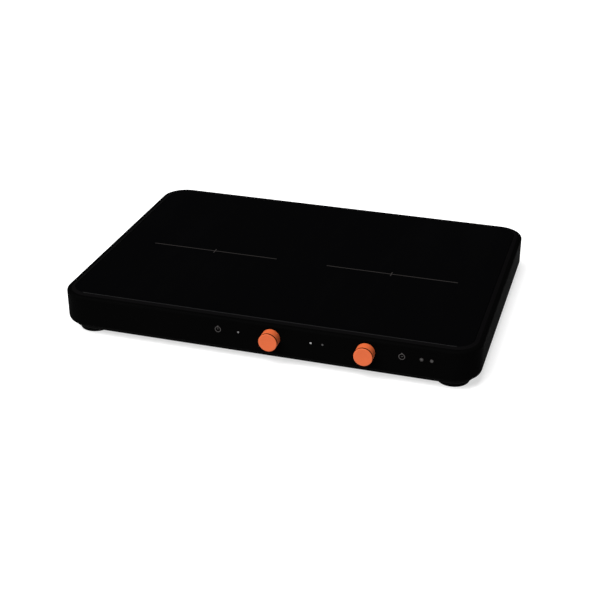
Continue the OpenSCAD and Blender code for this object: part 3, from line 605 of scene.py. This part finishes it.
def soften(shape, offset, segments, chosen=None, least=math.radians(35)):
    """Rounds the edges whose faces meet at more than the least angle."""
    edges = [edge for edge in shape.edges
             if len(edge.link_faces) == 2 and edge.calc_face_angle(0) > least
             and (chosen is None or chosen(edge))]
    bmesh.ops.bevel(shape, geom=edges, offset=offset, segments=segments, profile=0.5,
                    affect="EDGES", clamp_overlap=True, material=-1)


def add_bar(shape, middle, size):
    """Box added to a bmesh."""
    made = bmesh.ops.create_cube(shape, size=1)["verts"]
    bmesh.ops.scale(shape, vec=size, verts=made)
    bmesh.ops.translate(shape, vec=middle, verts=made)
    return made


def onto_front(x, z, out=0.0):
    """Matrix from a flat drawing (X right, Y up, Z towards the cook) to the front wall."""
    return Matrix.Translation((x, FRONT - out, z)) @ Matrix.Rotation(math.radians(90), 4, "X")


def make_piece(name, shape, matrix, finishes, body, replaces=()):
    """Finished object from a bmesh: placed, normals outwards, riding on its body."""
    bmesh.ops.transform(shape, matrix=matrix, verts=shape.verts)
    bmesh.ops.recalc_face_normals(shape, faces=shape.faces)
    mesh = bpy.data.meshes.new(name)
    shape.to_mesh(mesh)
    shape.free()
    for finish in finishes:
        mesh.materials.append(FINISHES[finish])
    mesh.shade_smooth()
    mesh.set_sharp_from_angle(angle=math.radians(40))
    piece = bpy.data.objects.new(name, mesh)
    bpy.context.scene.collection.objects.link(piece)
    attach(piece, body)
    if replaces:
        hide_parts(*replaces)
    return piece


# ------------------------------------------------------------------ operators


class COOKTOP_OT_finishes(bpy.types.Operator):
    """Give every CAD node its finish"""

    bl_idname = "cooktop.finishes"
    bl_label = "Finishes"

    def execute(self, context):
        FINISHES.update(build_finishes(context.scene))
        left = set(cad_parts)
        for finish, names in finish_nodes().items():
            for name in names:
                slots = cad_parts[name].material_slots
                if not slots:
                    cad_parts[name].data.materials.append(FINISHES[finish])
                for place in slots:
                    place.material = FINISHES[finish]
                left.discard(name)
        if left:
            raise RuntimeError(f"no finish for {sorted(left)}")
        return {"FINISHED"}


class COOKTOP_OT_zone_marks(bpy.types.Operator):
    """Print a line with a middle tick on the glass over each cooking zone"""

    bl_idname = "cooktop.zone_marks"
    bl_label = "Zone marks"

    def execute(self, context):
        marks = context.scene.cooktop_marks
        for side in SIDES:
            middle = box_middle(f"coil_{side}_sensor")
            shape = bmesh.new()
            add_bar(shape, (0, 0, 0), (marks.line_length, marks.line_width, marks.print_height))
            add_bar(shape, (0, 0, marks.print_height / 2),
                    (marks.line_width, marks.tick_length, marks.print_height))
            make_piece(f"zone_mark_{side}", shape, Matrix.Translation((middle.x, middle.y, GLASS_TOP)),
                       ["zone_print"], "casing")
        return {"FINISHED"}


class COOKTOP_OT_touch_symbols(bpy.types.Operator):
    """Print the two ring-shaped touch symbols on the front wall"""

    bl_idname = "cooktop.touch_symbols"
    bl_label = "Touch symbols"

    def execute(self, context):
        marks = context.scene.cooktop_marks
        outer, stroke, height = marks.symbol_radius, marks.symbol_stroke, marks.print_height
        low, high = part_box("touch_contacts")
        pad = (high[2] - low[2]) / 2
        for side, x in (("left", low[0] + pad), ("right", high[0] - pad)):
            shape = turned([(outer - stroke, 0), (outer, 0), (outer, height), (outer - stroke, height)], 48)
            add_bar(shape, (0, outer + stroke * 0.8, height / 2), (stroke * 2.2, stroke, height))
            if side == "left":
                add_bar(shape, (0, outer * 0.28, height / 2), (stroke, outer * 0.62, height))
            else:
                add_bar(shape, (outer * 0.1, outer * 0.12, height / 2), (outer * 0.62, stroke, height))
            make_piece(f"touch_symbol_{side}", shape, onto_front(x, PANEL_Z), ["print"],
                       "casing")
        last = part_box("indicator_lenses")[1][0] - 0.0024
        pitch = 0.0135
        near, far = 0.0017, 0.0023
        for name, shift in (("last", 0), ("next", pitch)):
            ring = turned([(near, 0), (far, 0), (far, height), (near, height)], 32)
            make_piece(f"light_ring_{name}", ring, onto_front(last - shift, PANEL_Z), ["print"],
                       "casing")
        return {"FINISHED"}


class COOKTOP_OT_knobs(bpy.types.Operator):
    """Turn the two knobs, with a groove just behind the face that carries painted shade"""

    bl_idname = "cooktop.knobs"
    bl_label = "Knobs"

    def execute(self, context):
        knobs = context.scene.cooktop_knobs
        for side in SIDES:
            low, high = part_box(f"knob_{side}")
            clip_low, clip_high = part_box(f"knob_{side}_clip")
            radius = (high[0] - low[0]) / 2
            length = high[1] - low[1]
            skin = 0.002
            hub = (clip_high[0] - clip_low[0]) / 2 - 0.0006
            face = length - knobs.groove_from_face
            groove = face - knobs.groove_width
            floor = radius - knobs.groove_depth
            bore, bore_end = 0.00305, length - 0.0035
            hub_end = high[1] - clip_high[1] - 0.0010
            outline = [
                (0, length - knobs.dish), (radius - 3 * skin, length - knobs.dish), (radius - skin, length),
                (radius, length), (radius, face), (floor, face), (floor, groove), (radius, groove),
                (radius, 0), (radius - skin, 0), (radius - skin, length - 1.5 * skin),
                (hub, length - 1.5 * skin), (hub, hub_end), (bore, hub_end), (bore, bore_end), (0, bore_end)]
            shape = turned(outline, knobs.steps)
            for edge_radius, edge_z in ((radius, length), (radius, 0)):
                soften(shape, knobs.edge, 4, lambda edge: all(
                    abs(v.co.z - edge_z) < 1e-6 and abs(v.co.xy.length - edge_radius) < 1e-6
                    for v in edge.verts))
            # The groove's walls and floor take the near-black second finish: painted shade, since the knob is
            # one orange piece.
            for one in shape.faces:
                middle = one.calc_center_median()
                if groove - 1e-5 < middle.z < face + 1e-5 and \
                        floor - 0.0001 < middle.xy.length < radius - 1e-5:
                    one.material_index = 1
            matrix = Matrix.Translation((low[0] + radius, high[1], PANEL_Z)) @ Matrix.Rotation(
                math.radians(90), 4, "X")
            make_piece(f"knob_{side}_shell", shape, matrix, ["knob_orange", "groove"],
                       f"{side}_knob", [f"knob_{side}"])
        return {"FINISHED"}


class COOKTOP_OT_feet(bpy.types.Operator):
    """Turn the rubber feet, with grip rings underneath"""

    bl_idname = "cooktop.feet"
    bl_label = "Feet"

    def execute(self, context):
        feet = context.scene.cooktop_feet
        tray_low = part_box("base_tray")[0][2]
        for node in nodes_with("foot_"):
            low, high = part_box(node)
            radius = (high[0] - low[0]) / 2
            middle = box_middle(node)
            rings = [(0, 0)]
            slope = 0.0003
            step = (radius - 0.004) / (feet.tread_rings + 0.5)
            for i in range(feet.tread_rings):
                near = step * (i + 0.6)
                far = near + step * 0.35
                rings += [(near, 0), (near + slope, feet.tread_depth),
                          (far - slope, feet.tread_depth), (far, 0)]
            stem, barb = 0.005, 0.0012
            through = tray_low + 0.0027
            outline = rings + [
                (radius, 0), (radius, tray_low), (stem, tray_low), (stem, through),
                (stem + barb, through), (stem - barb, high[2]), (0, high[2])]
            shape = turned(outline, 72)
            soften(shape, feet.foot_edge, 5, lambda edge: all(
                abs(v.co.z) < 1e-6 and abs(v.co.xy.length - radius) < 1e-6 for v in edge.verts))
            make_piece(f"{node}_pad", shape, Matrix.Translation((middle.x, middle.y, 0)),
                       ["foot_rubber"], "casing", [node])
        return {"FINISHED"}


class COOKTOP_OT_gland(bpy.types.Operator):
    """Add the grip ribs and the rubber seal of the cord gland"""

    bl_idname = "cooktop.gland"
    bl_label = "Cord gland"

    def execute(self, context):
        feet = context.scene.cooktop_feet
        middle = box_middle("cord_gland")
        rear = HOUSING_HIGH[1]
        cap = 0.010
        shape = bmesh.new()
        for i in range(feet.grip_ribs):
            bar = add_bar(shape, (cap, 0, rear + 0.0105), (0.0008, 0.0009, 0.0065))
            bmesh.ops.rotate(shape, cent=(0, 0, 0), verts=bar, matrix=Matrix.Rotation(
                2 * math.pi * i / feet.grip_ribs, 3, "Z"))
        soften(shape, 0.0002, 2)
        upright = Matrix.Translation((middle.x, 0, middle.z)) @ Matrix.Rotation(math.radians(-90), 4, "X")
        make_piece("gland_grip", shape, upright, ["gland_nylon"], "casing")
        bore = 0.0041
        seal = turned([(bore - 0.0012, rear + 0.004), (bore, rear + 0.003),
                       (bore, rear + 0.0115), (bore - 0.0012, rear + 0.0105)], 48)
        make_piece("gland_seal", seal, upright, ["foot_rubber"], "casing")
        return {"FINISHED"}


class COOKTOP_OT_coils(bpy.types.Operator):
    """Wind the two coils as flat spirals of stranded wire"""

    bl_idname = "cooktop.coils"
    bl_label = "Coils"

    def execute(self, context):
        coils = context.scene.cooktop_coils
        for side in SIDES:
            node = f"coil_{side}_winding"
            low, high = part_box(node)
            middle = box_middle(node)
            outer = (high[0] - low[0]) / 2
            inner = 0.024
            pitch = (outer - inner) / (coils.turns + 1)
            thick = high[2] - low[2]
            steps = 48
            turn = Matrix.Rotation(2 * math.pi / steps, 3, "Z")
            shape = bmesh.new()
            width = pitch - coils.wire_gap
            corners = [shape.verts.new((inner + pitch / 2 + across * width / 2, 0, up * thick / 2 * 0.98))
                       for across, up in ((-1, -0.5), (-0.5, -1), (0.5, -1), (1, -0.5),
                                          (1, 0.5), (0.5, 1), (-0.5, 1), (-1, 0.5))]
            end = shape.faces.new(corners)
            for _ in range(coils.turns * steps):
                end = bmesh.ops.extrude_discrete_faces(shape, faces=[end])["faces"][0]
                bmesh.ops.rotate(shape, cent=(0, 0, 0), verts=end.verts, matrix=turn)
                out = end.calc_center_median()
                out.z = 0
                bmesh.ops.translate(shape, vec=out.normalized() * pitch / steps, verts=end.verts)
            make_piece(f"coil_{side}_spiral", shape, Matrix.Translation(middle), ["copper"],
                       "casing", [node])
        return {"FINISHED"}


class COOKTOP_OT_stage(bpy.types.Operator):
    """Set the floor, the light and the camera"""

    bl_idname = "cooktop.stage"
    bl_label = "Stage"

    def execute(self, context):
        scene = context.scene
        stage = scene.cooktop_stage
        scene.view_settings.view_transform = "Standard"
        shape = bmesh.new()
        bmesh.ops.create_grid(shape, x_segments=1, y_segments=1, size=30)
        mesh = bpy.data.meshes.new("floor")
        shape.to_mesh(mesh)
        shape.free()
        floor, shader = new_finish("Pale floor")
        cloud = noise_node(floor.node_tree, 0.8, 2, 0.5)
        pale = tuple(stage.floor_colour)
        tint = blend_colour(floor.node_tree, cloud, pale, tuple(0.995 * part for part in pale))
        floor.node_tree.links.new(tint, shader.inputs["Base Color"])
        shader.inputs["Roughness"].default_value = 0.9
        shader.inputs["Specular IOR Level"].default_value = 0.1
        shader.inputs["Emission Color"].default_value = (1, 1, 1, 1)
        shader.inputs["Emission Strength"].default_value = stage.floor_glow
        mesh.materials.append(floor)
        ground = bpy.data.objects.new("floor", mesh)
        scene.collection.objects.link(ground)

        world = bpy.data.worlds.new("Studio")
        world.use_nodes = True
        world.node_tree.nodes["Background"].inputs["Color"].default_value = (1, 1, 1, 1)
        world.node_tree.nodes["Background"].inputs["Strength"].default_value = 0.006
        scene.world = world

        key = bpy.data.lights.new("Key", "SUN")
        key.energy = stage.key
        key.angle = math.radians(50)
        lamp = bpy.data.objects.new("Key", key)
        lamp.rotation_mode = "QUATERNION"
        lamp.rotation_quaternion = Vector((0.25, 0.45, -0.86)).to_track_quat("-Z", "Y")
        scene.collection.objects.link(lamp)

        back = Vector((math.sin(stage.turn) * math.cos(stage.height),
                       -math.cos(stage.turn) * math.cos(stage.height), math.sin(stage.height)))
        camera = bpy.data.objects.new("Camera", bpy.data.cameras.new("Camera"))
        camera.data.sensor_width = 36
        camera.data.lens = stage.lens
        camera.data.clip_end = 100
        camera.location = Vector(stage.aim) + back * stage.distance
        camera.rotation_mode = "QUATERNION"
        camera.rotation_quaternion = (-back).to_track_quat("-Z", "Y")
        scene.collection.objects.link(camera)
        scene.camera = camera
        return {"FINISHED"}


OPERATORS = (
    COOKTOP_OT_stage,
    COOKTOP_OT_finishes,
    COOKTOP_OT_zone_marks,
    COOKTOP_OT_touch_symbols,
    COOKTOP_OT_knobs,
    COOKTOP_OT_feet,
    COOKTOP_OT_gland,
    COOKTOP_OT_coils,
)


class COOKTOP_PT_panel(bpy.types.Panel):
    """Lists the cooktop's settings and operators"""

    bl_idname = "COOKTOP_PT_panel"
    bl_label = "Cooktop"
    bl_space_type = "VIEW_3D"
    bl_region_type = "UI"
    bl_category = "Cooktop"

    def draw(self, context):
        for label in SETTINGS:
            group = getattr(context.scene, label)
            column = self.layout.column(align=True)
            for name in group.bl_rna.properties.keys():
                if name not in {"rna_type", "name"}:
                    column.prop(group, name)
        for operator in OPERATORS:
            self.layout.operator(operator.bl_idname)


def register():
    """Register the settings, the operators and the panel."""
    for label, kind in SETTINGS.items():
        bpy.utils.register_class(kind)
        setattr(bpy.types.Scene, label, PointerProperty(type=kind))
    for kind in (*OPERATORS, COOKTOP_PT_panel):
        bpy.utils.register_class(kind)


def unregister():
    """Take away everything that register added."""
    for kind in reversed((*OPERATORS, COOKTOP_PT_panel)):
        bpy.utils.unregister_class(kind)
    for label, kind in reversed(SETTINGS.items()):
        delattr(bpy.types.Scene, label)
        bpy.utils.unregister_class(kind)


def main():
    """Build everything in order."""
    register()
    for operator in OPERATORS:
        area, verb = operator.bl_idname.split(".")
        getattr(getattr(bpy.ops, area), verb)()


if __name__ == "__main__":
    main()
